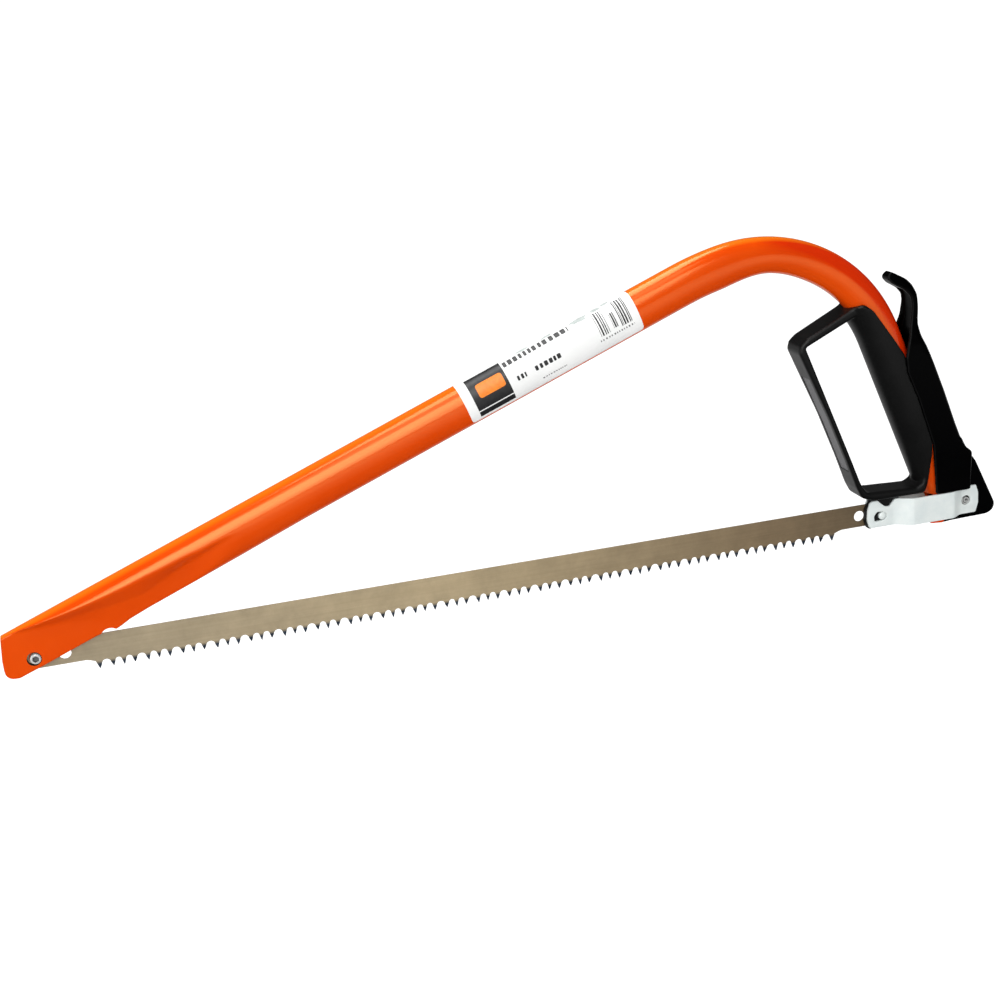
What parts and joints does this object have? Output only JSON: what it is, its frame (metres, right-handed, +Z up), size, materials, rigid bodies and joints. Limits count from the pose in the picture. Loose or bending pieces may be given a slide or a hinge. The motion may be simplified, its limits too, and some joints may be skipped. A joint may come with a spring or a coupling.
{
  "type": "bow saw",
  "caption": "Bow saw with an oval tube frame, knuckle guard grip, peg-tooth blade and over-centre tension lever.",
  "frame": {"origin": "centre of the open spare hole at the heel end of the blade, in the blade's middle plane", "axes": "+X from toe to heel along the blade, +Y across the bow away from the labelled side, +Z up towards the tube"},
  "size_m": [0.6318, 0.0256, 0.2019],
  "materials": {
    "orange_coat": "glossy orange powder coat on steel tube",
    "bright_steel": "bright steel fasteners",
    "spring_steel": "rolled spring steel, dull",
    "zinc_plate": "bright zinc plated sheet steel",
    "blade_steel": "hardened strip steel with a bronze tint, fine lengthwise grain",
    "black_guard": "black moulded plastic, slight satin",
    "black_lever": "black moulded plastic, fine texture",
    "black_insert": "black plastic insert",
    "label_film": "white printed film",
    "label_ink": "black printed block"
  },
  "bodies": {
    "frame": {"frame_tube": "orange_coat", "toe_screw": "bright_steel", "toe_washer": "bright_steel", "toe_nut": "bright_steel", "frame_label": "label_film", "label_code_patch": "label_ink", "knuckle_guard": "black_guard", "grip_screws": "bright_steel", "fulcrum_pin": "bright_steel"},
    "lever": {"tension_lever": "black_lever"},
    "links": {"link_plate_near": "zinc_plate", "link_plate_far": "zinc_plate", "heel_spacer": "black_insert", "blade_pin": "zinc_plate", "lever_pin": "spring_steel"},
    "blade": {"saw_blade": "blade_steel"}
  },
  "joints": [
    {"name": "lever_hinge", "type": "hinge", "parent": "frame", "child": "lever", "pos_m": [0.0581, 0, -0.00346], "axis": [0, 1, 0], "range_deg": [0, 70]},
    {"name": "link_hinge", "type": "hinge", "parent": "lever", "child": "links", "pos_m": [0.0736, 0, 0.00154], "axis": [0, 1, 0], "range_deg": [-92, 0]},
    {"name": "blade_swing", "type": "hinge", "parent": "frame", "child": "blade", "pos_m": [-0.5159, 0, -0.00046], "axis": [0, 1, 0], "range_deg": [0, 5]}
  ],
  "couplings": [
    {"joint": "link_hinge", "follows": "lever_hinge", "ratio": -1.28},
    {"joint": "blade_swing", "follows": "lever_hinge", "ratio": 0.0582}
  ]
}
